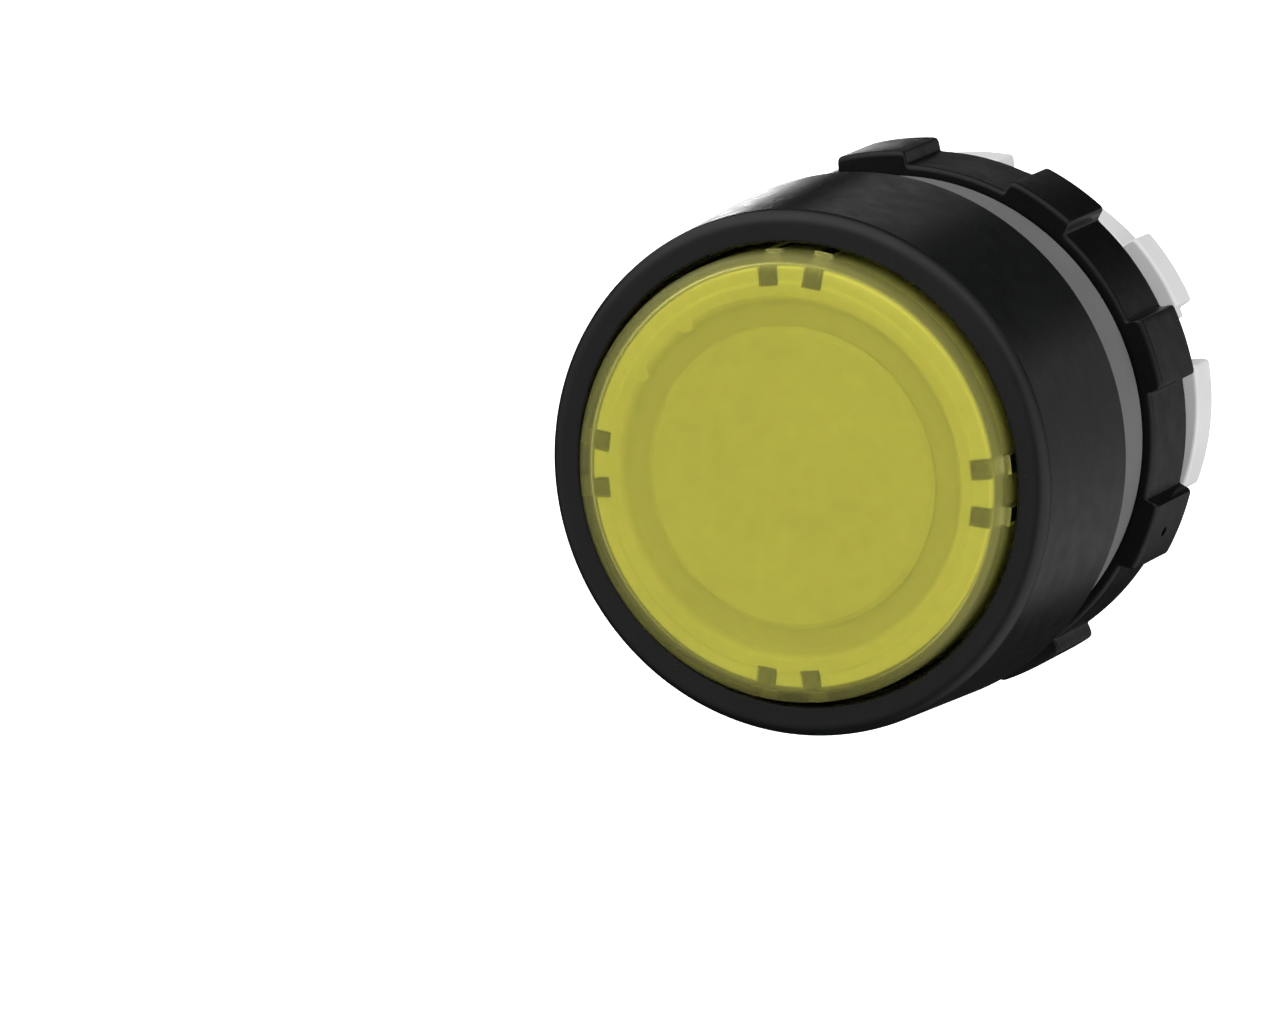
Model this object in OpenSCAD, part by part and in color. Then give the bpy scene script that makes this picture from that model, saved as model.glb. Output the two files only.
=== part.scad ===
// Operator head of an illuminated push button, for a round 22 mm panel hole.
// The button's axis is Y: the front faces -Y and the panel's rear side is +Y.
// The origin is on that axis, in the plane where the head seats on the panel's face.
// Clock angles are in degrees counter-clockwise from 3 o'clock, as seen from the front.

/* [Panel fixing] */
// Radius of the neck that goes through the panel hole
neck_r = 11.1; // [11:0.05:11.15]
// Pitch of the neck's thread
thread_pitch = 1.5; // [1:0.25:2]
// Turns of the nut from the seat to the end of the thread
nut_turns = 3; // [2:1:4]
// Width of the key that stops the head turning in its hole
key_w = 3; // [2.6:0.1:3.1]
// Radius that the key reaches
key_r = 12.7; // [12.5:0.05:12.75]

/* [Bezel] */
// Height of the bezel's front face above the panel seat
front_h = 16.15; // [16:0.05:16.4]
// Depth of the bezel, front face to rear edge
bezel_h = 10.9; // [10.5:0.1:10.9]
// Outer radius of the bezel at its front face
bezel_r = 14.25; // [14.1:0.05:14.5]
// Outer radius of the bezel at its rear edge
bezel_rear_r = 14.72; // [14.5:0.02:14.9]
// Radius of the rounding between the bezel's face and side
bezel_round = 0.7; // [0.4:0.05:0.9]
// Radius of the opening that the lens moves in
opening_r = 12.55; // [12.45:0.05:12.6]

/* [Button] */
// Travel of the button when it is pressed
travel = 4; // [3:0.25:4.25]
// Outer radius of the lens cap
lens_r = 12.2; // [12.15:0.05:12.3]
// Height of the lens face above the bezel's face
lens_proud = 1.7; // [1.2:0.05:1.75]
// Thickness of the lens face
lens_t = 0.8; // [0.8:0.05:1.1]
// Radius of the rounding round the lens face
lens_round = 1.1; // [0.5:0.05:1.1]
// Radius of the blank legend disc
legend_r = 8.2; // [7.5:0.05:8.4]
// Half angle between the two slits of one snap tab
slit_angle = 6.7; // [6:0.1:8]
// Bore of the plunger, which the lamp goes into from behind
lamp_r = 6.6; // [6:0.05:6.6]

/* [Locking nut] */
// Number of lugs round the nut
nut_lugs = 9; // [6:1:12]
// Radius of the nut between its lugs
nut_r = 14.25; // [14:0.05:14.4]
// Radius over the nut's lugs
nut_lug_r = 15; // [14.6:0.05:15.2]
// Thickness of the nut
nut_h = 5.3; // [4.5:0.1:5.5]
// Clock angle of one of the nut's lugs
nut_turn = 18.9; // [0:0.1:40]

/* [Coupling ring] */
// Radius of the coupling ring between its lugs
coupling_r = 12.3; // [12.2:0.05:12.5]
// Radius over the coupling ring's lugs
coupling_lug_r = 13.1; // [12.8:0.05:13.4]
// Thickness of the coupling ring
coupling_h = 2.4; // [2.2:0.1:2.6]
// Angle that the coupling ring turns through to let go
coupling_turn = 30; // [20:1:30]

/* [Return spring] */
// Radius of the spring wire
wire_r = 0.45; // [0.35:0.05:0.5]
// Turns of the spring, with one closed turn at each end
spring_turns = 7; // [6:1:8]

/* [Hidden] */
$fn = 96;
cut = 1; // how far a cutting tool runs past a face
slide_gap = 0.2; // gap all round a part that slides inside another

// Stations along the axis, front to rear
face_y = -front_h;
lens_y = face_y - lens_proud;
lens_under_y = lens_y + lens_t;
disc_y = lens_under_y + 0.2;
disc_h = 0.5;
plate_y = disc_y + disc_h;
plate_h = 0.75;
slit_y = face_y + 0.3;
seal_y = face_y + 1.85;
seal_h = 0.65;
cup_y = seal_y + seal_h;
head_y = -11.2;
head_h = 1.6;
head_rear_y = head_y + head_h;
lens_rear_y = head_y - 0.4;
floor_y = head_rear_y + travel + 0.4;
bezel_rear_y = face_y + bezel_h;
flange_rear_y = -2.1;
nut_y = 0.1;
washer_y = nut_y + 0.05;
washer_h = 0.8;
neck_end_y = nut_y + nut_h + nut_turns * thread_pitch;
coupling_y = neck_end_y + 0.3;
coupling_rear_y = coupling_y + coupling_h;
wire_y = coupling_y + 0.6;
spigot_end_y = coupling_rear_y + 0.4;
seat_y = spigot_end_y - 4.4;
seat_h = 3.8;
actuator_y = seat_y + seat_h + 0.1;
actuator_h = 1.4;
feet_h = 1.2;

// Radii, inside to outside
sleeve_r = lamp_r + 0.7;
seat_bore_r = sleeve_r + slide_gap;
neck_bore_r = 9.65;
spigot_r = 10.4;
head_r = 12.15;
cup_r = 12.55;
cup_outer_r = 13.35;
flange_r = 12.75;
gasket_r = 13.7;
lens_bore_r = 11.5;
plate_r = lens_bore_r - 0.15;
wall_r = plate_r - 0.45;
wall_bore_r = wall_r - 0.45;
cone_r = wall_bore_r - 0.1;
rim_r = 10.6;
groove_r = 9.85;
spring_r = 8.5;
wire_ring_r = 0.3;

// Clock angles
tab_angles = [0, 90, 180, 270];
key_angle = 90;
keyway_angle = 270;
keyway_w = 2.2;
keyway_r = spigot_r + 0.05;
stop_half_angle = 4;
foot_angles = [0, 180];
latch_angles = [30, 150, 270];
catch_angles = [30, 150, 270];
// Start and end of each lug of the coupling ring, on one half; the other half repeats them
coupling_lugs = [[-21, 11], [25, 45], [84, 115]];
coupling_notch = [11, 22];

// Turns local Z, with its shapes, to +Y
module along_y() rotate([-90, 0, 0]) children();

// Turns what points along +X to a clock angle
module at_clock(angle) rotate([0, -angle, 0]) children();

// Solid turned about Y from an outline of [radius, y] points
module turned(outline) along_y() rotate_extrude() polygon(outline);

// Ring about Y, from y0 to y1
module ring(inner_r, outer_r, y0, y1)
    turned([[inner_r, y0], [outer_r, y0], [outer_r, y1], [inner_r, y1]]);

// Plug about Y, used to cut a bore
module plug(r, y0, y1) translate([0, y0, 0]) along_y() cylinder(r = r, h = y1 - y0);

// Box that lies across radius r0 to r1 at a clock angle
module radial_box(angle, r0, r1, w, y0, y1)
    at_clock(angle) translate([r0, y0, -w / 2]) cube([r1 - r0, y1 - y0, w]);

// Wedge about Y between two clock angles less than 120 degrees apart, out past radius r
module wedge(a0, a1, r, y0, y1)
    translate([0, y1, 0]) rotate([90, 0, 0]) linear_extrude(height = y1 - y0)
        polygon([[0, 0], [2 * r * cos(a0), 2 * r * sin(a0)], [2 * r * cos(a1), 2 * r * sin(a1)]]);

// Part of a ring between two clock angles
module ring_sector(a0, a1, inner_r, outer_r, y0, y1) intersection() {
    ring(inner_r, outer_r, y0, y1);
    wedge(a0, a1, outer_r, y0 - cut, y1 + cut);
}

// Closed turn, open turns, closed turn: the height of the wire's middle after t turns
function coil_y(t, turns, y0, y1) =
    let (closed = 2.2 * wire_r, open = (y1 - y0 - 2 * closed) / (turns - 2))
    t < 1 ? y0 + closed * t
    : t > turns - 1 ? y1 - closed * (turns - t)
    : y0 + closed + open * (t - 1);

// Coil of round wire about Y
module coil(r, turns, y0, y1, steps = 18, sides = 8) {
    count = turns * steps;
    points = [for (i = [0:count], k = [0:sides - 1])
        let (a = 360 * i / steps, b = 360 * k / sides, reach = r + wire_r * cos(b))
        [reach * cos(a), coil_y(i / steps, turns, y0, y1) + wire_r * sin(b), reach * sin(a)]];
    walls = [for (i = [0:count - 1], k = [0:sides - 1])
        let (n = (k + 1) % sides)
        [i * sides + k, i * sides + n, (i + 1) * sides + n, (i + 1) * sides + k]];
    start = [for (k = [sides - 1:-1:0]) k];
    finish = [for (k = [0:sides - 1]) count * sides + k];
    polyhedron(points, concat(walls, [start, finish]), convexity = 10);
}

// Round front ring: a face with the lens opening, and a skirt that snaps over the housing's cup
module bezel() color([0.14, 0.15, 0.15]) difference() {
    along_y() rotate_extrude() {
        polygon([
            [opening_r, face_y], [bezel_r - bezel_round, face_y],
            [bezel_r - bezel_round, face_y + bezel_round], [bezel_r, face_y + bezel_round],
            [bezel_rear_r, bezel_rear_y], [cup_outer_r + 0.05, bezel_rear_y],
            [cup_outer_r + 0.05, seal_y], [opening_r, seal_y]
        ]);
        translate([bezel_r - bezel_round, face_y + bezel_round]) circle(r = bezel_round);
    }
    // Groove that the housing's snap bead springs into
    ring(cup_outer_r - cut, cup_outer_r + 0.35, bezel_rear_y - 3.5, bezel_rear_y - 2.5);
}

// Flat seal between the bezel and the cup, whose lip wipes the lens
module bezel_seal() color([0.08, 0.08, 0.08])
    turned([
        [lens_r + 0.2, seal_y + 0.1], [opening_r + 0.1, seal_y], [cup_outer_r, seal_y],
        [cup_outer_r, cup_y], [opening_r + 0.1, cup_y], [lens_r + 0.2, seal_y + 0.3]
    ]);

// Body: cup for the button, flange, neck for the panel and nut, spigot for the coupling ring
module housing() color([0.2, 0.21, 0.22]) difference() {
    union() {
        turned([
            [cup_r, cup_y], [cup_outer_r, cup_y], [cup_outer_r, bezel_rear_y], [flange_r, bezel_rear_y],
            [flange_r, flange_rear_y], [neck_r, flange_rear_y], [neck_r, neck_end_y],
            [spigot_r, neck_end_y], [spigot_r, spigot_end_y], [neck_bore_r, spigot_end_y],
            [neck_bore_r, floor_y], [cup_r, floor_y]
        ]);
        // Bead that snaps into the bezel
        ring(cup_outer_r - 0.1, cup_outer_r + 0.25, bezel_rear_y - 3.3, bezel_rear_y - 2.7);
        // Stop that limits the coupling ring's turn
        ring_sector(
            key_angle - stop_half_angle, key_angle + stop_half_angle,
            spigot_r - 0.2, neck_r - 0.05, neck_end_y - 0.2, neck_end_y + 1
        );
    }
    // Pocket for the locating key
    radial_box(key_angle, neck_r, flange_r + cut, key_w + 0.1, flange_rear_y - 1.5, flange_rear_y + 0.01);
    // Keyway that stops the thrust washer turning
    radial_box(keyway_angle, keyway_r, neck_r + cut, keyway_w, nut_y, neck_end_y + cut);
    // Groove for the snap wire
    ring(spigot_r - wire_ring_r, spigot_r + cut, wire_y - 0.4, wire_y + 0.4);
    // Windows that the spring seat's latches spring into
    for (angle = latch_angles)
        radial_box(angle, neck_bore_r - cut, spigot_r + 0.6, 2.8, spigot_end_y - 1.6, spigot_end_y - 0.8);
    // Notches that line up the contact block carrier
    for (angle = [key_angle, key_angle + 180])
        radial_box(angle, neck_bore_r - cut, spigot_r + cut, 3.2, spigot_end_y - 0.7, spigot_end_y + cut);
}

// Grey seal that caps the flange and seats on the panel
module panel_gasket() color([0.4, 0.4, 0.4]) difference() {
    turned([
        [flange_r + 0.02, bezel_rear_y], [gasket_r, bezel_rear_y], [gasket_r, 0], [neck_r + 0.05, 0],
        [neck_r + 0.05, flange_rear_y], [flange_r + 0.02, flange_rear_y]
    ]);
    radial_box(key_angle, neck_r - cut, key_r + 0.04, key_w + 0.2, flange_rear_y - cut, cut);
}

// Key that drops into the notch of the panel hole
module locating_key() color([0.2, 0.21, 0.22])
    radial_box(key_angle, neck_r + 0.05, key_r, key_w, flange_rear_y - 1.45, nut_y + 0.75);

// Ring snapped into the neck: it carries the return spring and guides the plunger's sleeve
module spring_seat() color([0.75, 0.75, 0.73]) union() {
    ring(seat_bore_r, neck_bore_r - 0.05, seat_y, seat_y + seat_h);
    // Latches
    for (angle = latch_angles)
        radial_box(angle, neck_bore_r - 0.5, spigot_r - 0.05, 2.6, spigot_end_y - 1.55, spigot_end_y - 0.85);
}

// Coil spring that returns the button
module return_spring() color([0.7, 0.7, 0.72])
    coil(spring_r, spring_turns, head_rear_y + wire_r + 0.03, seat_y - wire_r - 0.03);

// Split spring washer that holds the coupling ring by friction
module wave_washer() color([0.7, 0.7, 0.72]) difference() {
    ring(spigot_r + 0.1, neck_r - 0.05, neck_end_y + 0.03, neck_end_y + 0.23);
    wedge(key_angle - 12, key_angle + 12, neck_r, neck_end_y - cut, neck_end_y + cut);
}

// Split wire ring that keeps the coupling ring on the spigot
module snap_wire() color([0.7, 0.7, 0.72]) difference() {
    along_y() rotate_extrude() translate([spigot_r + 0.03, wire_y]) circle(r = wire_ring_r, $fn = 32);
    wedge(key_angle - 12, key_angle + 12, neck_r, wire_y - cut, wire_y + cut);
}

// Clear yellow cap with a rounded shoulder, and a snap tab between two slits at each quarter
module lens_cap() color([0.7, 0.68, 0.27, 0.8]) difference() {
    along_y() rotate_extrude() {
        polygon([
            [0, lens_y], [lens_r - lens_round, lens_y], [lens_r - lens_round, lens_y + lens_round],
            [lens_r, lens_y + lens_round], [lens_r, lens_rear_y], [0, lens_rear_y]
        ]);
        translate([lens_r - lens_round, lens_y + lens_round]) circle(r = lens_round);
    }
    plug(lens_bore_r, lens_under_y, lens_rear_y + cut);
    for (tab = tab_angles, side = [-1, 1])
        radial_box(
            tab + side * slit_angle, lens_bore_r - cut, lens_r + cut, 1,
            slit_y, lens_rear_y + cut
        );
}

// Flat ring that seals the lens skirt on the plunger's head
module lens_seal() color([0.8, 0.8, 0.76])
    ring(lens_bore_r - 0.05, head_r - 0.1, lens_rear_y + 0.02, head_y);

// Blank disc that would carry a legend
module legend_disc() color([0.8, 0.78, 0.45])
    plug(legend_r, disc_y, plate_y);

// Pale cap on the plunger's wall: stepped rim, groove, seat for the legend disc, and a skirt
module diffuser() color([0.85, 0.83, 0.5]) difference() {
    turned([
        [0, plate_y], [groove_r, plate_y], [groove_r, disc_y - 0.1], [rim_r, disc_y - 0.1],
        [rim_r, disc_y], [plate_r, disc_y], [plate_r, head_y - 0.05], [wall_r + 0.05, head_y - 0.05],
        [wall_r + 0.05, plate_y + plate_h], [0, plate_y + plate_h]
    ]);
    // Notches round the plunger's ribs
    for (tab = tab_angles, side = [-1, 1])
        radial_box(
            tab + side * slit_angle, wall_bore_r - 0.05, plate_r + cut, 1.1,
            disc_y - cut, head_y + cut
        );
}

// White cone that spreads the lamp's light over the diffuser
module reflector() color([0.93, 0.93, 0.92])
    turned([
        [cone_r, plate_y + plate_h], [cone_r, head_y], [sleeve_r, head_y],
        [sleeve_r, head_y - 0.5], [cone_r - 0.6, plate_y + plate_h]
    ]);

// Black plunger: a head with a wall that the lens snaps over, and a sleeve through the neck
module plunger() color([0.1, 0.1, 0.1]) difference() {
    union() {
        turned([
            [wall_bore_r, plate_y + plate_h], [wall_r, plate_y + plate_h], [wall_r, head_y], [head_r, head_y],
            [head_r, head_rear_y], [sleeve_r, head_rear_y], [sleeve_r, actuator_y + actuator_h],
            [lamp_r, actuator_y + actuator_h], [lamp_r, head_y], [wall_bore_r, head_y]
        ]);
        // Ribs that pass through the diffuser and reach out into the lens slits
        for (tab = tab_angles, side = [-1, 1]) {
            radial_box(
                tab + side * slit_angle, wall_bore_r, lens_bore_r - 0.05, 0.85,
                lens_under_y + 0.1, lens_rear_y
            );
            radial_box(
                tab + side * slit_angle, wall_bore_r, head_r - 0.05, 0.85,
                slit_y + 0.05, lens_rear_y
            );
        }
    }
    // Groove for the plunger seal
    ring(head_r - 0.65, head_r + cut, head_y + 0.35, head_rear_y - 0.35);
    // Groove that the actuator ring snaps into
    ring(sleeve_r - 0.25, sleeve_r + cut, actuator_y + 0.45, actuator_y + 0.95);
}

// O-ring that wipes the housing's cup
module plunger_seal() color([0.08, 0.08, 0.08])
    along_y() rotate_extrude() translate([head_r - 0.18, head_y + head_h / 2]) circle(r = 0.44, $fn = 32);

// Ring snapped on the plunger's tail: it holds the plunger in, and its feet press the contact blocks
module actuator_ring() color([0.75, 0.75, 0.73]) union() {
    ring(sleeve_r, neck_bore_r - 0.35, actuator_y, actuator_y + actuator_h);
    ring(sleeve_r - 0.2, sleeve_r + 0.3, actuator_y + 0.5, actuator_y + 0.9);
    for (angle = foot_angles)
        radial_box(
            angle, sleeve_r + 0.2, neck_bore_r - 0.7, 4.4,
            actuator_y + actuator_h - 0.2, actuator_y + actuator_h + feet_h
        );
}

// Steel washer in the nut's face, whose tab slides in the keyway
module thrust_washer() color([0.72, 0.72, 0.74]) difference() {
    union() {
        ring(neck_r + 0.25, nut_r - 0.9, washer_y, washer_y + washer_h);
        radial_box(keyway_angle, keyway_r + 0.15, neck_r + 0.5, keyway_w - 0.4, washer_y, washer_y + washer_h);
    }
    // Notch that clears the locating key
    radial_box(key_angle, neck_r - cut, key_r + 0.2, key_w + 0.5, washer_y - cut, washer_y + washer_h + cut);
}

// Nut with lugs, which clamps the panel against the gasket
module locking_nut() color([0.07, 0.07, 0.07]) difference() {
    union() {
        ring(neck_r + 0.1, nut_r, nut_y, nut_y + nut_h);
        for (i = [0:nut_lugs - 1])
            ring_sector(
                nut_turn + 360 * i / nut_lugs - 7.8, nut_turn + 360 * i / nut_lugs + 7.8,
                nut_r - 0.5, nut_lug_r, nut_y, nut_y + nut_h
            );
    }
    // Recess for the thrust washer
    plug(nut_r - 0.8, nut_y - cut, washer_y + washer_h + 0.05);
}

// Light grey bayonet ring that locks the contact block carrier on
module coupling_ring() color([0.72, 0.72, 0.72]) difference() {
    union() {
        ring(spigot_r + 0.1, coupling_r, coupling_y, coupling_rear_y);
        for (half = [0, 180], lug = coupling_lugs)
            ring_sector(
                half + lug[0], half + lug[1], coupling_r - 0.5, coupling_lug_r,
                coupling_y, coupling_rear_y
            );
    }
    // Notch in the rim
    for (half = [0, 180])
        ring_sector(
            half + coupling_notch[0], half + coupling_notch[1], coupling_r - 0.7, coupling_lug_r + cut,
            coupling_y - cut, coupling_rear_y + cut
        );
    // Groove for the snap wire
    ring(spigot_r - cut, spigot_r + wire_ring_r + 0.2, wire_y - 0.45, wire_y + 0.45);
    // Track that the housing's stop runs in
    ring_sector(
        key_angle - stop_half_angle - 1, key_angle + stop_half_angle + coupling_turn + 1,
        spigot_r - cut, neck_r + 0.2, coupling_y - cut, wire_y + 0.45
    );
    // Bayonet tracks: a way in, then a shallow run under the ring's rear lip
    for (angle = catch_angles) {
        ring_sector(angle, angle + 14, spigot_r - cut, spigot_r + 1.1, coupling_y + 1.15, coupling_rear_y + cut);
        ring_sector(
            angle, angle + 14 + coupling_turn, spigot_r - cut, spigot_r + 1.1,
            coupling_y + 1.15, coupling_rear_y - 0.6
        );
    }
}

bezel();
bezel_seal();
housing();
panel_gasket();
locating_key();
spring_seat();
return_spring();
wave_washer();
snap_wire();
lens_cap();
lens_seal();
legend_disc();
diffuser();
reflector();
plunger();
plunger_seal();
actuator_ring();
thrust_washer();
locking_nut();
coupling_ring();
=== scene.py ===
import math

import bmesh
import bpy
from mathutils import Matrix, Vector


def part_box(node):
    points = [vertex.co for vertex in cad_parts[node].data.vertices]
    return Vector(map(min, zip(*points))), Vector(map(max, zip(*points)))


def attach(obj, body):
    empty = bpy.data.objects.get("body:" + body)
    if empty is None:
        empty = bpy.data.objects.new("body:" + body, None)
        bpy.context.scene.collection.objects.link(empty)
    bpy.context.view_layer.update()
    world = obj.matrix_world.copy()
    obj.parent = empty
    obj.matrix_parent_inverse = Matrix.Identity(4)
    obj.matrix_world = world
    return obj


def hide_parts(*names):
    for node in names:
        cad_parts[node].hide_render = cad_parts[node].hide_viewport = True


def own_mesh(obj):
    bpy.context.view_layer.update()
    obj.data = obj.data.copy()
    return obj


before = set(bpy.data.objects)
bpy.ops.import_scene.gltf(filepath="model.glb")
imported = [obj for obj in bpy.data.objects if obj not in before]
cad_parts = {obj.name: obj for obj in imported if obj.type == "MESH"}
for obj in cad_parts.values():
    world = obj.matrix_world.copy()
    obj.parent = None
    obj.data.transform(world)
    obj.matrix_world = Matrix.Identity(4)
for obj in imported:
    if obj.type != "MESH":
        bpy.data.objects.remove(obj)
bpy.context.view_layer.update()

# Looks of an illuminated push button head. Y is the button's axis and -Y its front, as in the CAD frame.
# Lengths are in millimetres until a mesh is made. Clock angles are in degrees counter-clockwise from
# 3 o'clock, as seen from the front. A section is an outline of (radius, y) points round a piece's wall.

MM = 0.001


def corners(node):
    """Lowest and highest corner of a CAD node, in millimetres."""
    low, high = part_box(node)
    return low / MM, high / MM


# ---------------------------------------------------------------- sizes, from the frame

ROUND_STEPS = 192
EDGE_FLAT = 0.015  # narrow strip beside a rounding, which keeps the shading of the flat next to it true

bezel_low, bezel_high = corners("bezel")
front_y, bezel_rear_y = bezel_low.y, bezel_high.y
bezel_rear_r = bezel_high.x
bezel_flare = 0.47
bezel_front_r = bezel_rear_r - bezel_flare
seal_y = front_y + 1.85

lens_low, lens_high = corners("lens_cap")
lens_y, lens_rear_y, lens_r = lens_low.y, lens_high.y, lens_high.x
opening_r = lens_r + 0.35
lens_bore_r = 11.5
lens_t = 0.8
lens_under_y = lens_y + lens_t
slit_y = front_y + 0.3
shoulder = 1.1
slit_angle, slit_w, rib_w, notch_w = 6.7, 1, 0.85, 1.1
tab_angles = (0, 90, 180, 270)

legend_low, legend_high = corners("legend_disc")
legend_y, plate_y, legend_r = legend_low.y, legend_high.y, legend_high.x
rim_y = corners("diffuser")[0].y
band_y = rim_y + 0.1
plate_r, plate_h = 11.35, 0.75
plate_rear_y = plate_y + plate_h
groove_r, rim_r = 9.85, 10.6

plunger_high = corners("plunger")[1]
head_r, plunger_rear_y = plunger_high.x, plunger_high.y
head_y, head_h = corners("lens_seal")[1].y, 1.6
head_rear_y = head_y + head_h
skirt_y = head_y - 0.05
wall_r, wall_bore_r = plate_r - 0.45, plate_r - 0.9
cone_r = wall_bore_r - 0.1
lamp_r, sleeve_r = 6.6, 7.3

body_low, body_high = corners("housing")
cup_y, spigot_end_y = body_low.y, body_high.y
gasket_r = corners("panel_gasket")[1].x
cup_r, cup_outer_r, flange_r = 12.55, 13.35, 12.75
neck_r, neck_bore_r, spigot_r = 11.1, 9.65, 10.4
floor_y, flange_rear_y = -5.2, -2.1
key_angle, key_slot_r, key_slot_w = 90, 12.74, 3.2
latch_angles = (30, 150, 270)

seat_low, seat_high = corners("spring_seat")
actuator_low, actuator_high = corners("actuator_ring")
nut_low, nut_high = corners("locking_nut")
nut_lug_r, nut_r = 15.0, 14.25
coupling_low, coupling_high = corners("coupling_ring")
neck_end_y = coupling_low.y - 0.3
wire_y = coupling_low.y + 0.6
coupling_lug_r, coupling_r = coupling_high.x, coupling_high.x - 0.8

nut_lugs, nut_turn, nut_lug_half = 9, 18.9, 7.8
coupling_lugs = ((-21, 11), (25, 45), (84, 115))
coupling_notch = (11, 22)
catch_angles = (30, 150, 270)
thread_pitch, thread_depth = 1.5, 0.75


# ---------------------------------------------------------------- outlines and meshes

def rounded(outline, steps=5):
    """Closed outline with each (radius, y, fillet) corner rounded off, and the flat beside it kept flat."""
    points = []
    for i, (r, y, fillet) in enumerate(outline):
        here = Vector((r, y))
        if fillet == 0:
            points.append(here)
            continue
        to_last = (Vector(outline[i - 1][:2]) - here).normalized()
        to_next = (Vector(outline[(i + 1) % len(outline)][:2]) - here).normalized()
        half = to_last.angle(to_next) / 2
        run = fillet / math.tan(half)
        centre = here + (to_last + to_next).normalized() * (fillet / math.sin(half))
        first = here + to_last * run - centre
        last = here + to_next * run - centre
        sweep = math.atan2(first.x * last.y - first.y * last.x, first.dot(last))
        points.append(here + to_last * (run + EDGE_FLAT))
        for k in range(steps + 1):
            points.append(centre + Matrix.Rotation(sweep * k / steps, 2) @ first)
        points.append(here + to_next * (run + EDGE_FLAT))
    return [(p.x, p.y) for p in points]


def even_angles(marks=(), gap=0.04):
    """Angles all the way round, with a close pair at each mark for a step in the section there."""
    step = 360 / ROUND_STEPS
    pairs = sorted((mark + side * gap) % 360 for mark in marks for side in (-1, 1))
    even = [i * step for i in range(ROUND_STEPS)]
    clear = [a for a in even if all(abs((a - p + 180) % 360 - 180) > gap * 2 for p in pairs)]
    return sorted(clear + pairs)


def within(angle, start, end):
    """True if a clock angle lies between start and end, going counter-clockwise."""
    return (angle - start) % 360 < (end - start) % 360


def make_object(name, bm):
    """Object from a bmesh, with doubles merged and normals outwards."""
    bmesh.ops.remove_doubles(bm, verts=bm.verts, dist=2e-7)
    bmesh.ops.dissolve_degenerate(bm, edges=bm.edges, dist=1e-7)
    bmesh.ops.recalc_face_normals(bm, faces=bm.faces)
    mesh = bpy.data.meshes.new(name)
    bm.to_mesh(mesh)
    bm.free()
    obj = bpy.data.objects.new(name, mesh)
    bpy.context.scene.collection.objects.link(obj)
    return obj


def lathe(name, section, angles=None):
    """Closed solid about Y. section is an outline, or a function from a clock angle to one."""
    angles = angles or even_angles()
    rings = [section(a) if callable(section) else section for a in angles]
    count = len(rings[0])
    bm = bmesh.new()
    verts = []
    for angle, ring in zip(angles, rings):
        cos, sin = math.cos(math.radians(angle)) * MM, math.sin(math.radians(angle)) * MM
        verts.append([bm.verts.new((r * cos, y * MM, r * sin)) for r, y in ring])
    for i, ring in enumerate(verts):
        after = verts[(i + 1) % len(verts)]
        for k in range(count):
            n = (k + 1) % count
            bm.faces.new((ring[k], ring[n], after[n], after[k]))
    return make_object(name, bm)


def block(angle, r0, r1, width, y0, y1, edge=0.0):
    """Box across radius r0 to r1 at a clock angle, with its edges rounded where edge is set."""
    bm = bmesh.new()
    bmesh.ops.create_cube(bm, size=1)
    size = Matrix.Diagonal((r1 - r0, y1 - y0, width, 1))
    place = Matrix.Translation(((r0 + r1) / 2, (y0 + y1) / 2, 0))
    bm.transform(Matrix.Scale(MM, 4) @ Matrix.Rotation(math.radians(-angle), 4, "Y") @ place @ size)
    bm.normal_update()
    if edge:
        bmesh.ops.bevel(bm, geom=bm.edges, offset=edge * MM, segments=3, profile=0.5, affect="EDGES")
    return make_object("block", bm)


def stud(angle, r, y0, y1, radius, outwards=False):
    """Short round pin: along Y at radius r, or with outwards True from radius y0 to y1 at height r."""
    bm = bmesh.new()
    bmesh.ops.create_cone(bm, cap_ends=True, segments=24, radius1=radius, radius2=radius * 0.9, depth=y1 - y0)
    if outwards:
        place = Matrix.Translation(((y0 + y1) / 2, r, 0)) @ Matrix.Rotation(math.pi / 2, 4, "Y")
    else:
        place = Matrix.Translation((r, (y0 + y1) / 2, 0)) @ Matrix.Rotation(math.pi / 2, 4, "X")
    bm.transform(Matrix.Scale(MM, 4) @ Matrix.Rotation(math.radians(-angle), 4, "Y") @ place)
    return make_object("stud", bm)


def combine(piece, tools, operation):
    """Cuts the tools out of a piece, or joins them to it, and deletes the tools."""
    for tool in tools:
        modifier = piece.modifiers.new("combine", "BOOLEAN")
        modifier.operation = operation
        modifier.solver = "MANIFOLD"
        modifier.object = tool
    bpy.context.view_layer.update()
    made = piece.evaluated_get(bpy.context.evaluated_depsgraph_get())
    piece.data = bpy.data.meshes.new_from_object(made)
    piece.modifiers.clear()
    for tool in tools:
        bpy.data.objects.remove(tool)
    return piece


def soften(obj, sharp=38):
    """Smooth shading with flat faces kept flat."""
    for polygon in obj.data.polygons:
        polygon.use_smooth = True
    obj.data.set_sharp_from_angle(angle=math.radians(sharp))
    weighted = obj.modifiers.new("flat faces", "WEIGHTED_NORMAL")
    weighted.keep_sharp = True
    weighted.weight = 80


def place(obj, node, body, slot, material, sharp=38):
    """Finishes a piece that stands for a CAD node."""
    obj.data.materials.clear()
    obj.data.materials.append(material)
    soften(obj, sharp)
    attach(obj, body)
    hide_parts(node)
    return obj


# ---------------------------------------------------------------- materials

NOISE_LOW, NOISE_HIGH = 0.3, 0.7  # most of a noise's values lie between these


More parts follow.
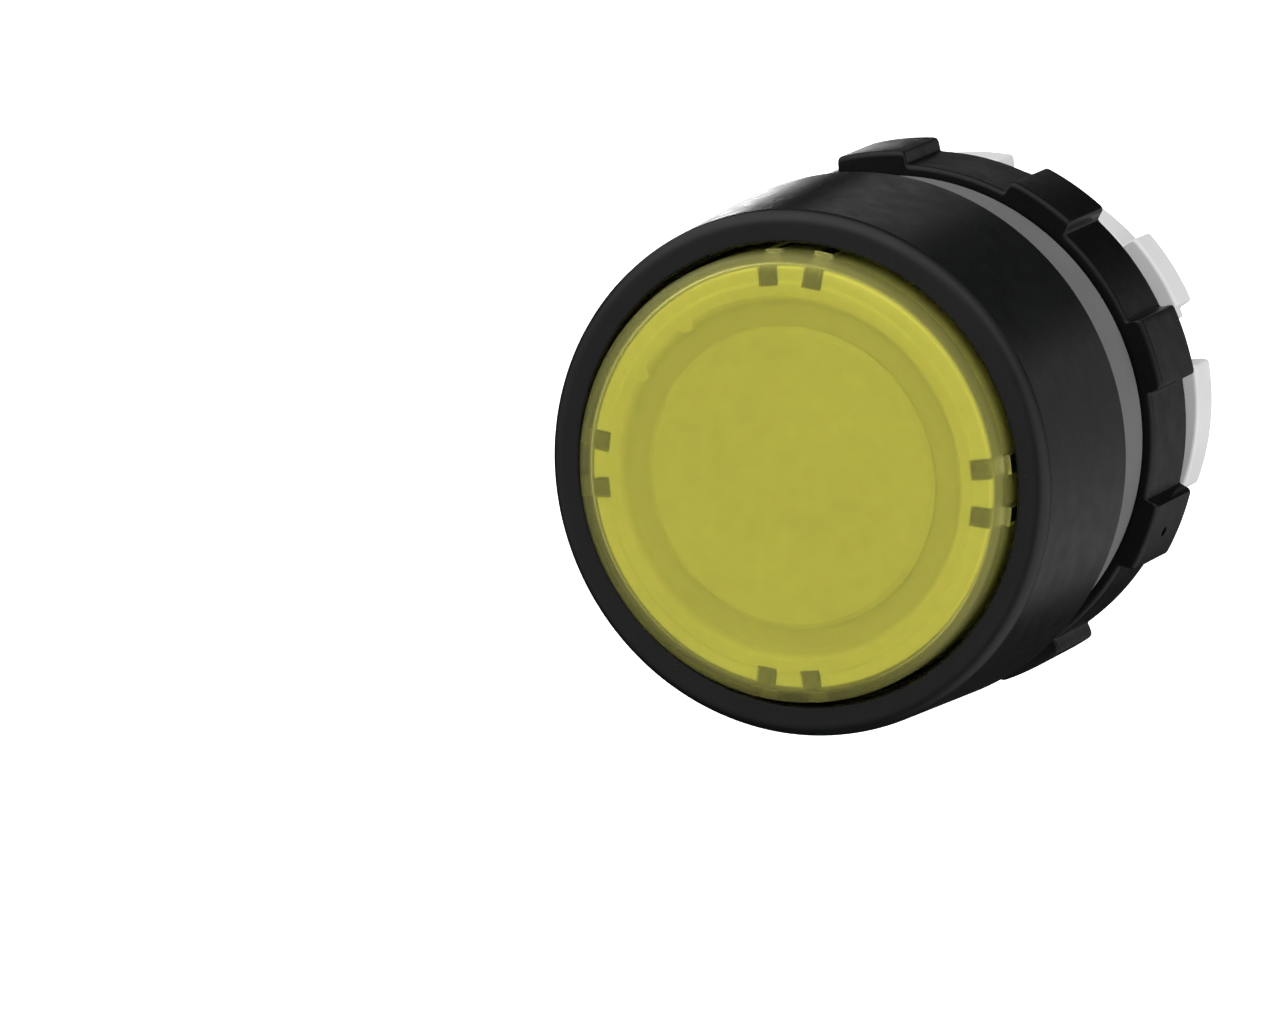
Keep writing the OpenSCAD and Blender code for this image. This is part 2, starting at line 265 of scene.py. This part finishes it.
class Surface:
    """A material with a Principled shader, and short calls for the nodes round it."""

    def __init__(self, name, color, roughness, **values):
        self.material = bpy.data.materials.new(name)
        self.material.use_nodes = True
        self.tree = self.material.node_tree
        self.shader = self.tree.nodes["Principled BSDF"]
        self.color = color
        self.shader.inputs["Base Color"].default_value = (*color, 1)
        self.shader.inputs["Roughness"].default_value = roughness
        for socket, value in values.items():
            self.shader.inputs[socket.replace("_", " ")].default_value = value
        self.place = self.tree.nodes.new("ShaderNodeTexCoord").outputs["Object"]

    def noise(self, size, detail=3, stretch=(1, 1, 1)):
        """Noise with features of about size millimetres."""
        mapping = self.tree.nodes.new("ShaderNodeMapping")
        mapping.inputs["Scale"].default_value = stretch
        self.tree.links.new(self.place, mapping.inputs["Vector"])
        node = self.tree.nodes.new("ShaderNodeTexNoise")
        node.inputs["Scale"].default_value = 1 / (size * MM)
        node.inputs["Detail"].default_value = detail
        self.tree.links.new(mapping.outputs["Vector"], node.inputs["Vector"])
        return node.outputs["Fac"]

    def spread(self, source, low, high, start=NOISE_LOW, end=NOISE_HIGH):
        """Values from low to high as source goes from start to end."""
        node = self.tree.nodes.new("ShaderNodeMapRange")
        for socket, value in zip(("From Min", "From Max", "To Min", "To Max"), (start, end, low, high)):
            node.inputs[socket].default_value = value
        self.tree.links.new(source, node.inputs["Value"])
        return node.outputs["Result"]

    def tone(self, source, change):
        """Colour that varies by a share of itself, up and down, with source."""
        ramp = self.tree.nodes.new("ShaderNodeValToRGB")
        shares, positions = (1 - change, 1 + change), (NOISE_LOW, NOISE_HIGH)
        for element, share, position in zip(ramp.color_ramp.elements, shares, positions):
            element.color = (*[c * share for c in self.color], 1)
            element.position = position
        self.tree.links.new(source, ramp.inputs["Fac"])
        self.tree.links.new(ramp.outputs["Color"], self.shader.inputs["Base Color"])
        return self

    def paint_recess_shade(self, y0, y1, share):
        """Painted shade: dims the colour to a share of itself from y0 back to y1, so the deeper levels of a
        face look shaded.
        """
        axes = self.tree.nodes.new("ShaderNodeSeparateXYZ")
        self.tree.links.new(self.place, axes.inputs["Vector"])
        scale = self.tree.nodes.new("ShaderNodeVectorMath")
        scale.operation = "SCALE"
        self.tree.links.new(self.shader.inputs["Base Color"].links[0].from_socket, scale.inputs["Vector"])
        self.tree.links.new(self.spread(axes.outputs["Y"], 1, share, y0 * MM, y1 * MM), scale.inputs["Scale"])
        self.tree.links.new(scale.outputs["Vector"], self.shader.inputs["Base Color"])
        return self

    def roughness(self, source, low, high):
        self.tree.links.new(self.spread(source, low, high), self.shader.inputs["Roughness"])
        return self

    def bump(self, *layers):
        """Each layer is a height source and how high its relief is, in millimetres."""
        normal = None
        for source, height in layers:
            node = self.tree.nodes.new("ShaderNodeBump")
            node.inputs["Distance"].default_value = height * MM
            self.tree.links.new(source, node.inputs["Height"])
            if normal:
                self.tree.links.new(normal, node.inputs["Normal"])
            normal = node.outputs["Normal"]
        self.tree.links.new(normal, self.shader.inputs["Normal"])
        return self


def moulded(name, color, rough, grain, relief, change=0.08, **values):
    """Moulded plastic or rubber: fine grain, faint clouding, and a slow ripple of the tool's surface."""
    surface = Surface(name, color, rough, **values)
    fine, cloud = surface.noise(grain, 4), surface.noise(4, 2)
    surface.tone(cloud, change).roughness(surface.noise(1.2, 3), rough - 0.05, rough + 0.05)
    return surface.bump((fine, relief), (cloud, relief * 1.5)).material


def drawn_metal(name, color, rough, stretch):
    """Metal with fine lines along its working direction."""
    surface = Surface(name, color, rough, Metallic=1.0)
    lines = surface.noise(0.5, 4, stretch)
    surface.tone(lines, 0.1).roughness(lines, rough - 0.08, rough + 0.1)
    return surface.bump((lines, 0.004)).material


def lens_plastic():
    """Tinted clear plastic with a satin face, tinted reflections and a trace of flow marks."""
    surface = Surface(
        "lens_yellow", (0.97, 0.95, 0.33), 0.2, Transmission_Weight=0.9, IOR=1.49,
        Specular_Tint=(0.97, 0.93, 0.2, 1)
    )
    flow = surface.noise(6, 2)
    surface.tone(flow, 0.015).roughness(surface.noise(0.8, 3), 0.18, 0.22)
    return surface.bump((flow, 0.012), (surface.noise(0.6, 3), 0.0006)).material


def milky_plastic(name, color, rough, cloud_size, change, recess_shade_share=1):
    """Translucent plastic, clouded by its pigment, with painted shade that darkens its deeper levels; the
    last argument is the share of its colour kept at the deepest.
    """
    surface = Surface(name, color, rough, Subsurface_Weight=0.25, Subsurface_Scale=0.0006)
    # Painted shade: the groove and other deep steps of the face get a darker colour where they lie further
    # back.
    surface.tone(surface.noise(cloud_size, 5), change).paint_recess_shade(band_y, plate_y - 0.05, recess_shade_share)
    surface.roughness(surface.noise(0.5, 3), rough - 0.06, rough + 0.06)
    return surface.bump((surface.noise(0.25, 3), 0.004)).material


bezel_black = moulded(
    "bezel_black", (0.0062, 0.0066, 0.007), 0.3, 0.12, 0.0006, 0.1, Specular_IOR_Level=0.25
)
body_plastic = moulded("body_plastic", (0.012, 0.012, 0.013), 0.5, 0.1, 0.004)
plunger_black = moulded("plunger_black", (0.01, 0.01, 0.01), 0.45, 0.12, 0.003)
nut_black = moulded(
    "nut_black", (0.002, 0.002, 0.002), 0.36, 0.11, 0.012, 0.12, Specular_IOR_Level=0.22
)
coupling_grey = moulded("coupling_grey", (0.78, 0.78, 0.78), 0.55, 0.12, 0.004, 0.04)
natural_plastic = moulded("natural_plastic", (0.6, 0.59, 0.54), 0.4, 0.15, 0.002, 0.03)
reflector_white = moulded("reflector_white", (0.82, 0.82, 0.8), 0.3, 0.2, 0.001, 0.02)
gasket_rubber = moulded("gasket_rubber", (0.14, 0.14, 0.14), 0.75, 0.13, 0.006, 0.06)
seal_rubber = moulded("seal_rubber", (0.012, 0.012, 0.012), 0.55, 0.15, 0.003)
silicone_white = moulded("silicone_white", (0.75, 0.74, 0.7), 0.5, 0.2, 0.002, 0.02)
lens_yellow = lens_plastic()
# The diffuser keeps 0.76 of its colour at the back of its groove, as painted shade.
diffuser_pale = milky_plastic("diffuser_pale", (0.96, 0.94, 0.7), 0.45, 0.6, 0.03, 0.76)
legend_pale = milky_plastic("legend_pale", (0.86, 0.84, 0.62), 0.6, 0.9, 0.04)
spring_steel = drawn_metal("spring_steel", (0.62, 0.62, 0.63), 0.28, (1, 6, 1))
washer_steel = drawn_metal("washer_steel", (0.6, 0.6, 0.62), 0.35, (1, 1, 8))


# ---------------------------------------------------------------- front of the head

def bezel():
    """Front ring with a rounded outer edge and a faintly flared side."""
    outline = rounded([
        (opening_r, front_y, 0.18), (bezel_front_r, front_y, 0.75), (bezel_rear_r, bezel_rear_y, 0.2),
        (cup_outer_r + 0.05, bezel_rear_y, 0.12), (cup_outer_r + 0.05, seal_y, 0),
        (opening_r, seal_y, 0.1),
    ], steps=8)
    place(lathe("bezel_ring", outline), "bezel", "root", "bezel_black", bezel_black)


def lens_cap():
    """Cap with a rounded shoulder, whose skirt is slit beside each snap tab."""
    outline = rounded([
        (0, lens_y, 0), (lens_r, lens_y, shoulder), (lens_r, lens_rear_y, 0.06),
        (lens_bore_r, lens_rear_y, 0.06), (lens_bore_r, lens_under_y, 0.3), (0, lens_under_y, 0),
    ], steps=12)
    slits = [
        block(tab + side * slit_angle, lens_bore_r - 1, lens_r + 1, slit_w, slit_y, lens_rear_y + 1)
        for tab in tab_angles for side in (-1, 1)
    ]
    cap = combine(lathe("lens", outline), slits, "DIFFERENCE")
    place(cap, "lens_cap", "button", "lens_yellow", lens_yellow)


def legend_disc():
    """Blank disc with a bevelled rim and the small pip left by its moulding gate."""
    outline = rounded([
        (0, legend_y, 0), (legend_r - 0.3, legend_y, 0.1), (legend_r, legend_y + 0.25, 0.05),
        (legend_r, plate_y, 0.04), (0, plate_y, 0),
    ])
    disc = lathe("legend_blank", outline)
    pip = stud(176, legend_r - 0.5, legend_y - 0.08, legend_y + 0.2, 0.16)
    combine(disc, [pip], "UNION")
    place(disc, "legend_disc", "button", "legend_pale", legend_pale)


def rib_blocks(inner_r, outer_r, width, y0, y1, edge=0.0):
    """Blocks along the plunger's ribs, two at each snap tab."""
    return [
        block(tab + side * slit_angle, inner_r, outer_r, width, y0, y1, edge)
        for tab in tab_angles for side in (-1, 1)
    ]


def diffuser():
    """Pale cup: stepped face with rim and groove, and two pegs near half past ten."""
    outline = rounded([
        (0, plate_y, 0), (groove_r - 0.4, plate_y, 0.35), (groove_r, rim_y, 0.2), (rim_r - 0.1, rim_y, 0.1),
        (rim_r + 0.1, band_y, 0.1), (plate_r, band_y, 0.15), (plate_r, skirt_y, 0.05),
        (wall_r + 0.05, skirt_y, 0.05), (wall_r + 0.05, plate_rear_y, 0), (0, plate_rear_y, 0),
    ])
    notches = rib_blocks(wall_bore_r - 0.05, plate_r + 1, notch_w, rim_y - 1, head_y + 1)
    plate = combine(lathe("diffuser_plate", outline), notches, "DIFFERENCE")
    pegs = [stud(angle, groove_r + 0.1, rim_y - 0.04, plate_y + 0.3, 0.5) for angle in (127, 149)]
    combine(plate, pegs, "UNION")
    place(plate, "diffuser", "button", "diffuser_pale", diffuser_pale)


def reflector():
    """White cone behind the diffuser."""
    outline = rounded([
        (cone_r, plate_rear_y, 0), (cone_r, head_y, 0), (sleeve_r, head_y, 0),
        (sleeve_r, head_y - 0.5, 0.1), (cone_r - 0.6, plate_rear_y, 0),
    ])
    place(lathe("reflector_cone", outline), "reflector", "button", "reflector_white", reflector_white)


def plunger():
    """Head, wall and sleeve of the moving part, with the ribs that sit in the lens slits."""
    groove = head_r - 0.65
    outline = rounded([
        (wall_bore_r, plate_rear_y, 0), (wall_r, plate_rear_y, 0), (wall_r, head_y, 0.1),
        (head_r, head_y, 0.08), (head_r, head_y + 0.35, 0.04),
        (groove, head_y + 0.35, 0.05), (groove, head_rear_y - 0.35, 0.05),
        (head_r, head_rear_y - 0.35, 0.04), (head_r, head_rear_y, 0.1), (sleeve_r, head_rear_y, 0.25),
        (sleeve_r, plunger_rear_y, 0.15), (lamp_r, plunger_rear_y, 0.15), (lamp_r, head_y, 0.1),
        (wall_bore_r, head_y, 0.1),
    ], steps=3)
    ribs = rib_blocks(wall_bore_r, lens_bore_r - 0.05, rib_w, lens_under_y + 0.1, lens_rear_y, 0.1)
    ribs += rib_blocks(wall_bore_r, head_r - 0.07, rib_w, slit_y + 0.05, lens_rear_y, 0.1)
    piece = combine(lathe("plunger_body", outline), ribs, "UNION")
    place(piece, "plunger", "button", "plunger_black", plunger_black)


# ---------------------------------------------------------------- body, seals and springs

def thread_height(angle, y, start):
    """Height of the thread's ridge, 0 to 1, on a right-handed helix. Its grooves fade in from start."""
    turn = ((y / thread_pitch + angle / 360) % 1 + 1) % 1
    ridge = min(max(2.6 * abs(turn - 0.5) - 0.15, 0), 1)
    fade = min(max((y - start) / 0.6, 0), 1)
    return ridge * fade + (1 - fade)


def housing():
    """Cup, flange, threaded neck with its keyway, and spigot."""
    stop, keyway, notch = (86, 94), (270 - 5.7, 270 + 5.7), 8.8
    thread_start, thread_end, rows = 0.4, neck_end_y - 0.25, 78
    marks = [*stop, *keyway, *(a + side * notch for a in (90, 270) for side in (-1, 1))]

    def section(angle):
        in_keyway = within(angle, *keyway)
        neck = []
        for i in range(rows + 1):
            y = thread_start + (thread_end - thread_start) * i / rows
            ridge = thread_height(angle, y, thread_start)
            r = neck_r - thread_depth * (1 - ridge)
            neck.append((min(r, spigot_r + 0.05) if in_keyway else r, y, 0))
        stop_y = neck_end_y + (1 if within(angle, *stop) else 0.01)
        groove_y = max(wire_y - 0.4, stop_y + 0.02)
        rear_y = spigot_end_y - (0.7 if min(abs(angle - 90), abs(angle - 270)) < notch else 0)
        return rounded([
            (cup_r, cup_y, 0.06), (cup_outer_r, cup_y, 0.06), (cup_outer_r, bezel_rear_y, 0),
            (flange_r, bezel_rear_y, 0), (flange_r, flange_rear_y, 0), (neck_r, flange_rear_y, 0), *neck,
            (neck_r - 0.3, neck_end_y, 0), (neck_r - 0.3, stop_y, 0), (spigot_r, stop_y, 0),
            (spigot_r, groove_y, 0), (spigot_r - 0.3, groove_y + 0.01, 0), (spigot_r - 0.3, wire_y + 0.4, 0),
            (spigot_r, wire_y + 0.41, 0), (spigot_r, rear_y, 0.12), (neck_bore_r, rear_y, 0.12),
            (neck_bore_r, floor_y, 0.1), (cup_r, floor_y, 0.1),
        ], steps=2)

    body = lathe("body_shell", section, even_angles(marks))
    windows = [
        block(a, neck_bore_r - 1, spigot_r + 1, 2.8, spigot_end_y - 1.6, spigot_end_y - 0.8)
        for a in latch_angles
    ]
    combine(body, windows, "DIFFERENCE")
    place(body, "housing", "root", "body_plastic", body_plastic, 30)


def panel_gasket():
    """Grey seal over the flange, with two fine sealing lips on its rear face."""
    inner = neck_r + 0.05
    lips = [(gasket_r - 0.7, 0), (gasket_r - 1.7, 0)]
    face = []
    for r, y in lips:
        face += [(r + 0.3, y, 0), (r + 0.12, y - 0.12, 0.05), (r - 0.12, y - 0.12, 0.05), (r - 0.3, y, 0)]
    outline = rounded([
        (flange_r + 0.02, bezel_rear_y, 0.1), (gasket_r, bezel_rear_y, 0.15), (gasket_r, 0, 0.2), *face,
        (inner, 0, 0.1), (inner, flange_rear_y, 0), (flange_r + 0.02, flange_rear_y, 0),
    ], steps=4)
    ring = lathe("gasket_ring", outline)
    slot = block(key_angle, neck_r - 1, key_slot_r, key_slot_w, flange_rear_y - 1, 1)
    place(combine(ring, [slot], "DIFFERENCE"), "panel_gasket", "root", "gasket_rubber", gasket_rubber)


def return_spring():
    """Coil spring with closed ends."""
    wire_r, coil_r, turns, steps, sides = 0.45, 8.5, 7, 40, 14
    low, high = corners("return_spring")
    y0, y1 = low.y + wire_r, high.y - wire_r
    closed = 2.2 * wire_r
    bm = bmesh.new()
    rings = []
    for i in range(turns * steps + 1):
        t = i / steps
        if t < 1:
            y = y0 + closed * t
        elif t > turns - 1:
            y = y1 - closed * (turns - t)
        else:
            y = y0 + closed + (y1 - y0 - 2 * closed) * (t - 1) / (turns - 2)
        ring = []
        for k in range(sides):
            b = 2 * math.pi * k / sides
            r, height = coil_r + wire_r * math.cos(b), y + wire_r * math.sin(b)
            a = 2 * math.pi * t
            ring.append(bm.verts.new((r * math.cos(a) * MM, height * MM, r * math.sin(a) * MM)))
        rings.append(ring)
    for one, two in zip(rings, rings[1:]):
        for k in range(sides):
            bm.faces.new((one[k], one[(k + 1) % sides], two[(k + 1) % sides], two[k]))
    bm.faces.new(rings[0])
    bm.faces.new(rings[-1])
    coil = place(make_object("coil", bm), "return_spring", "root", "spring_steel", spring_steel)
    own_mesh(coil)


def spring_seat():
    """Natural plastic ring in the neck's mouth, with three latches."""
    outline = rounded([
        (sleeve_r + 0.2, seat_low.y, 0.1), (neck_bore_r - 0.05, seat_low.y, 0.2),
        (neck_bore_r - 0.05, seat_high.y, 0.15), (sleeve_r + 0.2, seat_high.y, 0.15),
    ])
    latches = [
        block(a, neck_bore_r - 0.5, spigot_r - 0.05, 2.6, spigot_end_y - 1.55, spigot_end_y - 0.85, 0.08)
        for a in latch_angles
    ]
    piece = combine(lathe("seat_ring", outline), latches, "UNION")
    place(piece, "spring_seat", "root", "natural_plastic", natural_plastic)


def actuator_ring():
    """Ring on the plunger's tail, with a rounded pusher foot on each side."""
    ring_rear_y = actuator_low.y + 1.4
    outer_r = neck_bore_r - 0.35
    outline = rounded([
        (sleeve_r, actuator_low.y, 0), (outer_r, actuator_low.y, 0.12), (outer_r, ring_rear_y, 0.2),
        (sleeve_r, ring_rear_y, 0.1),
    ])
    feet = [
        block(a, sleeve_r + 0.2, neck_bore_r - 0.7, 4.4, ring_rear_y - 0.2, actuator_high.y, 0.2)
        for a in (0, 180)
    ]
    piece = combine(lathe("pusher_ring", outline), feet, "UNION")
    place(piece, "actuator_ring", "button", "natural_plastic", natural_plastic)


# ---------------------------------------------------------------- nut and coupling ring

# Rise of a lug's flank: offset from the lug's edge in degrees, and share of the full height
FLANK = ((-1.1, 0), (-0.55, 0.03), (-0.2, 0.15), (0, 0.5), (0.2, 0.82), (0.5, 0.95), (1.1, 1))


def flank_height(angle, start, end):
    """Share of a lug's height at a clock angle: 0 outside its flanks and 1 between them."""
    into = min((angle - start + 180) % 360 - 180, (end - angle + 180) % 360 - 180)
    if into <= FLANK[0][0]:
        return 0
    for (a, low), (b, high) in zip(FLANK, FLANK[1:]):
        if into <= b:
            return low + (high - low) * (into - a) / (b - a)
    return 1


def lug_angles(spans, extra=()):
    """Angles for a ring with lugs: even all round, and close together on each flank."""
    flanks = [start + offset for start, _ in spans for offset, _ in FLANK]
    flanks += [end - offset for _, end in spans for offset, _ in FLANK]
    even = even_angles(extra)
    fine = sorted(a % 360 for a in flanks)
    near = [a for a in even if all(abs((a - f + 180) % 360 - 180) > 0.15 for f in fine)]
    return sorted(near + fine)


def locking_nut():
    """Lugged nut with a real thread in its bore and a recess for the washer."""
    spans = [
        (nut_turn + 360 * i / nut_lugs - nut_lug_half, nut_turn + 360 * i / nut_lugs + nut_lug_half)
        for i in range(nut_lugs)
    ]
    y0, y1 = nut_low.y, nut_high.y
    floor, rows = y0 + 0.9, 44
    recess_r = nut_r - 0.8

    def section(angle):
        height = max(flank_height(angle, *span) for span in spans)
        outer = nut_r + (nut_lug_r - nut_r) * height
        bore = []
        for i in range(rows + 1):
            y = y1 - 0.35 - (y1 - 0.35 - floor - 0.2) * i / rows
            ridge = thread_height(angle, y, floor - 0.4)
            bore.append((neck_r + 0.1 - (thread_depth - 0.08) * (1 - ridge), y, 0))
        return rounded([
            (recess_r, y0, 0.08), (outer, y0, 0.28), (outer, y1, 0.28), (neck_r + 0.35, y1, 0), *bore,
            (neck_r + 0.3, floor, 0), (recess_r, floor, 0.08),
        ], steps=4)

    nut = lathe("lug_nut", section, lug_angles(spans))
    combine(nut, [stud(nut_turn - 5, nut_r - 0.15, y0 - 0.06, y0 + 0.3, 0.16)], "UNION")
    combine(nut, [stud(nut_turn - 40, y0 + 2.4, nut_lug_r - 0.2, nut_lug_r + 0.3, 0.3, True)], "DIFFERENCE")
    place(nut, "locking_nut", "nut", "nut_black", nut_black, 34)


def coupling_ring():
    """Light grey bayonet ring: irregular lugs outside, tracks for the carrier's hooks inside."""
    spans = [(half + start, half + end) for half in (0, 180) for start, end in coupling_lugs]
    notches = [(half + coupling_notch[0], half + coupling_notch[1]) for half in (0, 180)]
    bore_r, track_r = spigot_r + 0.1, spigot_r + 1.1
    y0, y1 = coupling_low.y, coupling_high.y
    stop = (85, 125)
    marks = [*stop, *(a + b for a in catch_angles for b in (0, 14, 44))]

    def section(angle):
        height = max(flank_height(angle, *span) for span in spans)
        dip = max(flank_height(angle, *span) for span in notches)
        outer = coupling_r + (coupling_lug_r - coupling_r) * height
        outer += (coupling_r - 0.7 - outer) * dip
        stop_r = neck_r + 0.2
        in_stop = within(angle, *stop)
        front_r = stop_r if in_stop else bore_r
        wire_r = stop_r if in_stop else bore_r + 0.4
        run_r = track_r if any(within(angle, a, a + 44) for a in catch_angles) else bore_r
        lip_r = track_r if any(within(angle, a, a + 14) for a in catch_angles) else bore_r
        wire_start, wire_end, run_start, run_end = wire_y - 0.45, wire_y + 0.45, y0 + 1.15, y1 - 0.6
        return rounded([
            (outer, y0, 0.2), (outer, y1, 0.25), (lip_r, y1, 0.1), (lip_r, run_end, 0), (run_r, run_end, 0),
            (run_r, run_start, 0), (bore_r, run_start, 0), (bore_r, wire_end, 0), (wire_r, wire_end, 0),
            (wire_r, wire_start, 0), (front_r, wire_start, 0), (front_r, y0, 0),
        ], steps=4)

    ring = lathe("bayonet_ring", section, lug_angles([*spans, *notches], marks))
    place(ring, "coupling_ring", "coupling", "coupling_grey", coupling_grey)


# ---------------------------------------------------------------- CAD nodes that keep their own shape

def keep_cad(node, material, edge=0.0):
    """Gives a CAD node its material, and rounds its edges where edge is set."""
    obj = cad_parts[node]
    obj.data.materials.clear()
    obj.data.materials.append(material)
    for polygon in obj.data.polygons:
        polygon.use_smooth = True
    weld = obj.modifiers.new("weld", "WELD")
    weld.merge_threshold = 1e-6
    if edge:
        bevel = obj.modifiers.new("edges", "BEVEL")
        bevel.width = edge * MM
        bevel.segments = 3
        bevel.limit_method = "ANGLE"
        bevel.angle_limit = math.radians(40)
        bevel.harden_normals = True


def carried_over_nodes():
    keep_cad("bezel_seal", seal_rubber)
    keep_cad("lens_seal", silicone_white)
    keep_cad("plunger_seal", seal_rubber)
    keep_cad("snap_wire", spring_steel)
    keep_cad("wave_washer", spring_steel, 0.03)
    keep_cad("thrust_washer", washer_steel, 0.06)
    keep_cad("locating_key", body_plastic, 0.1)


# ---------------------------------------------------------------- camera, floor and light

LIGHT_DISTANCE = 1.3  # metres


def towards(azimuth, elevation):
    """Direction in degrees: azimuth 0 is in front of the head and 90 on its right."""
    around, above = math.radians(azimuth), math.radians(elevation)
    return Vector((math.sin(around) * math.cos(above), -math.cos(around) * math.cos(above), math.sin(above)))


def aim(obj, position, target):
    obj.location = position
    obj.rotation_mode = "QUATERNION"
    obj.rotation_quaternion = (Vector(target) - Vector(position)).to_track_quat("-Z", "Y")


def camera():
    """Long lens from the front right, a little above, with the head right of the middle."""
    azimuth, elevation = 22.7, 11.1
    distance, aside, above = 0.6609, 0.00834, 0.00195
    back = towards(azimuth, elevation)
    right = Vector((math.cos(math.radians(azimuth)), math.sin(math.radians(azimuth)), 0))
    up = back.cross(right)
    data = bpy.data.cameras.new("camera")
    data.lens, data.sensor_width = 348.8, 36
    data.clip_start, data.clip_end = 0.01, 50
    obj = bpy.data.objects.new("camera", data)
    bpy.context.scene.collection.objects.link(obj)
    front_centre = Vector((0, front_y * MM, 0))
    position = front_centre + back * distance - right * aside - up * above
    aim(obj, position, position - back)
    bpy.context.scene.camera = obj


def softbox(name, azimuth, elevation, width, height, radiance):
    """Soft light that is aimed at the head and unseen by the camera itself."""
    data = bpy.data.lights.new(name, "AREA")
    data.shape = "RECTANGLE"
    data.size, data.size_y = width, height
    data.energy = radiance * math.pi * width * height
    obj = bpy.data.objects.new(name, data)
    bpy.context.scene.collection.objects.link(obj)
    obj.visible_camera = False
    aim(obj, LIGHT_DISTANCE * towards(azimuth, elevation), (0, 0, 0))


def glow(tree, least, patches):
    """Soft light from far away: a low level all round, and wide patches that fade out at their edges."""
    links, background = tree.links, tree.nodes["Background"]
    background.inputs["Color"].default_value = (1, 1, 1, 1)
    direction = tree.nodes.new("ShaderNodeTexCoord").outputs["Generated"]
    total = None
    for azimuth, elevation, half_width, strength in patches:
        near = tree.nodes.new("ShaderNodeVectorMath")
        near.operation = "DOT_PRODUCT"
        near.inputs[1].default_value = towards(azimuth, elevation)
        fade = tree.nodes.new("ShaderNodeMapRange")
        fade.interpolation_type = "SMOOTHSTEP"
        fade.inputs["From Min"].default_value = math.cos(math.radians(half_width))
        fade.inputs["To Max"].default_value = strength
        add = tree.nodes.new("ShaderNodeMath")
        links.new(direction, near.inputs[0])
        links.new(near.outputs["Value"], fade.inputs["Value"])
        links.new(fade.outputs["Result"], add.inputs[0])
        if total:
            links.new(total, add.inputs[1])
        else:
            add.inputs[1].default_value = least
        total = add.outputs["Value"]
    links.new(total, background.inputs["Strength"])


def studio():
    """Pale floor and walls, lit evenly and far below the head, which a panel would hold up."""
    room_r, room_h, floor_z = 25, 26, -1
    bm = bmesh.new()
    bmesh.ops.create_cone(bm, cap_ends=True, segments=64, radius1=room_r, radius2=room_r, depth=room_h)
    room = make_object("room", bm)
    room.location.z = floor_z + room_h / 2
    pale = bpy.data.materials.new("pale_floor")
    pale.use_nodes = True
    shader = pale.node_tree.nodes["Principled BSDF"]
    shader.inputs["Base Color"].default_value = (0.9, 0.9, 0.9, 1)
    shader.inputs["Roughness"].default_value = 0.9
    shader.inputs["Emission Color"].default_value = (1, 1, 1, 1)
    shader.inputs["Emission Strength"].default_value = 1.0
    room.data.materials.append(pale)
    room.visible_glossy = False
    room.visible_diffuse = False
    room.visible_transmission = False
    room.visible_shadow = False

    world = bpy.data.worlds.new("studio")
    world.use_nodes = True
    bpy.context.scene.world = world
    bpy.context.scene.view_settings.view_transform = "Standard"
    glow(world.node_tree, 0.015, [
        # Azimuth, elevation, half width and strength of each soft patch of light
        (-40, 10, 75, 0.65),
        (80, -25, 70, 1.5),
        (-45, 60, 60, 1.3),
        (40, 60, 60, 0.6),
    ])

    softbox("key", 60, 45, 1.0, 0.8, 0.7)
    softbox("rear_right", 160, -8, 0.45, 1.0, 0.42)
    softbox("rear_top", 194, 21, 0.35, 0.3, 0.35)
    softbox("rear_left", 205, -1, 0.12, 0.12, 7.0)
    softbox("rear_side", 120, 40, 0.8, 0.8, 0.3)
    softbox("rear_far_side", 240, 35, 0.8, 0.8, 0.45)


bezel()
lens_cap()
legend_disc()
diffuser()
reflector()
plunger()
housing()
panel_gasket()
return_spring()
spring_seat()
actuator_ring()
locking_nut()
coupling_ring()
carried_over_nodes()
camera()
studio()
